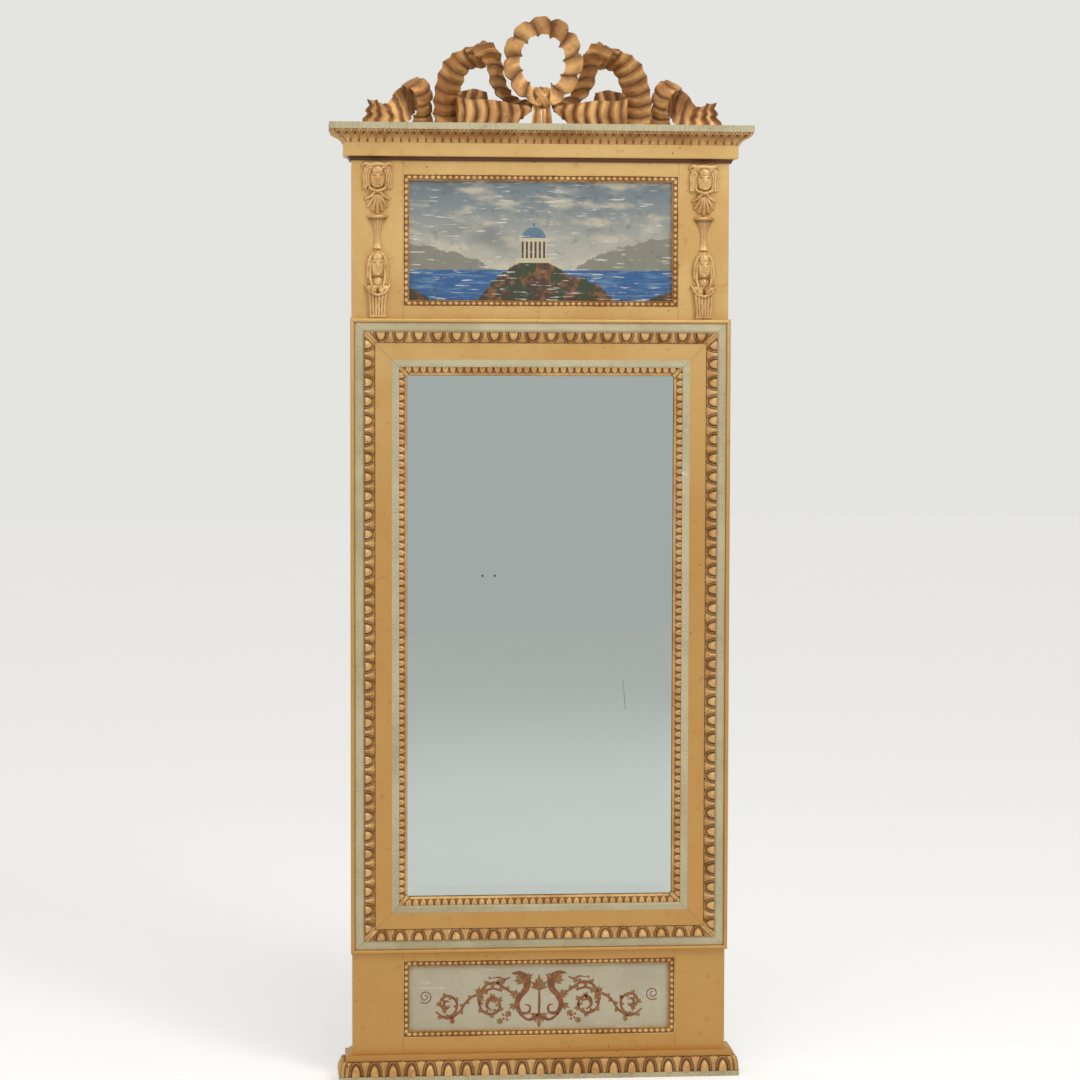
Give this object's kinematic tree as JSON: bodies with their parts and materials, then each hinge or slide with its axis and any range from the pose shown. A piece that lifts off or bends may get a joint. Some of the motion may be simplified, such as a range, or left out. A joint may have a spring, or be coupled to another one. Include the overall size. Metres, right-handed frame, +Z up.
{
  "type": "trumeau mirror",
  "caption": "Tall gilt and painted wall mirror with a moulded plinth, bevelled plate in a mitred frame, painted panels, a cornice and a carved ribbon bow.",
  "frame": {"origin": "middle of the back edge of the base board's underside", "axes": "+Z up along the mirror's height, +X to the right as seen from the front, +Y towards the wall, the front faces -Y"},
  "size_m": [0.716, 0.086, 1.8083],
  "materials": {
    "gilt_carcass": "worn gilding on the face and the outer sides, bare aged pine behind",
    "painted_picture": "painted sea view, flaked in places",
    "painted_ornament": "painted arabesque on pale green-grey",
    "pale_paint": "aged pale green-grey paint with fine cracks",
    "gilt": "worn water gilding over warm bole, satin",
    "carved_gilt": "worn gilding on carved wood, brown in the hollows",
    "silvered_plate": "old silvered plate with a wide ground bevel and small flaws",
    "pine": "bare aged pine",
    "iron": "dark forged iron"
  },
  "bodies": {
    "mirror": {"stile_left": "gilt_carcass", "stile_right": "gilt_carcass", "rail_top": "gilt_carcass", "rail_frieze": "gilt_carcass", "rail_dado": "gilt_carcass", "rail_bottom": "gilt_carcass", "picture_panel": "painted_picture", "ornament_panel": "painted_ornament", "picture_beading": "gilt", "ornament_beading": "gilt", "mirror_frame_top": "gilt", "mirror_frame_bottom": "gilt", "mirror_frame_left": "gilt", "mirror_frame_right": "gilt", "outer_slips": "pale_paint", "inner_slips": "pale_paint", "egg_moulding_top": "gilt", "egg_moulding_bottom": "gilt", "egg_moulding_left": "gilt", "egg_moulding_right": "gilt", "sight_moulding_top": "gilt", "sight_moulding_bottom": "gilt", "sight_moulding_left": "gilt", "sight_moulding_right": "gilt", "mirror_plate": "silvered_plate", "backboards": "pine", "glass_pads": "pine", "top_board": "pale_paint", "cornice_leaf_front": "gilt", "cornice_leaf_left": "gilt", "cornice_leaf_right": "gilt", "fascia_front": "gilt", "fascia_returns": "gilt", "bed_mould": "gilt", "base_board": "pale_paint", "plinth_egg_front": "gilt", "plinth_egg_left": "gilt", "plinth_egg_right": "gilt", "plinth_band": "gilt", "crest_ring": "carved_gilt", "crest_knot": "carved_gilt", "crest_loop_left": "carved_gilt", "crest_loop_right": "carved_gilt", "crest_fold_left": "carved_gilt", "crest_fold_right": "carved_gilt", "crest_curl_left": "carved_gilt", "crest_curl_right": "carved_gilt", "mask_left": "gilt", "mask_right": "gilt", "baluster_left": "gilt", "baluster_right": "gilt", "herm_left": "gilt", "herm_right": "gilt", "hangers": "iron", "hanger_screws": "iron"},
    "d_ring_left": {"d_ring_left": "iron"},
    "d_ring_right": {"d_ring_right": "iron"}
  },
  "joints": [
    {"name": "d_ring_left_turn", "type": "hinge", "parent": "mirror", "child": "d_ring_left", "pos_m": [-0.164, -0.00632, 1.5585], "axis": [1, 0, 0], "range_deg": [-5, 175]},
    {"name": "d_ring_right_turn", "type": "hinge", "parent": "mirror", "child": "d_ring_right", "pos_m": [0.164, -0.00632, 1.5585], "axis": [1, 0, 0], "range_deg": [-5, 175]}
  ]
}
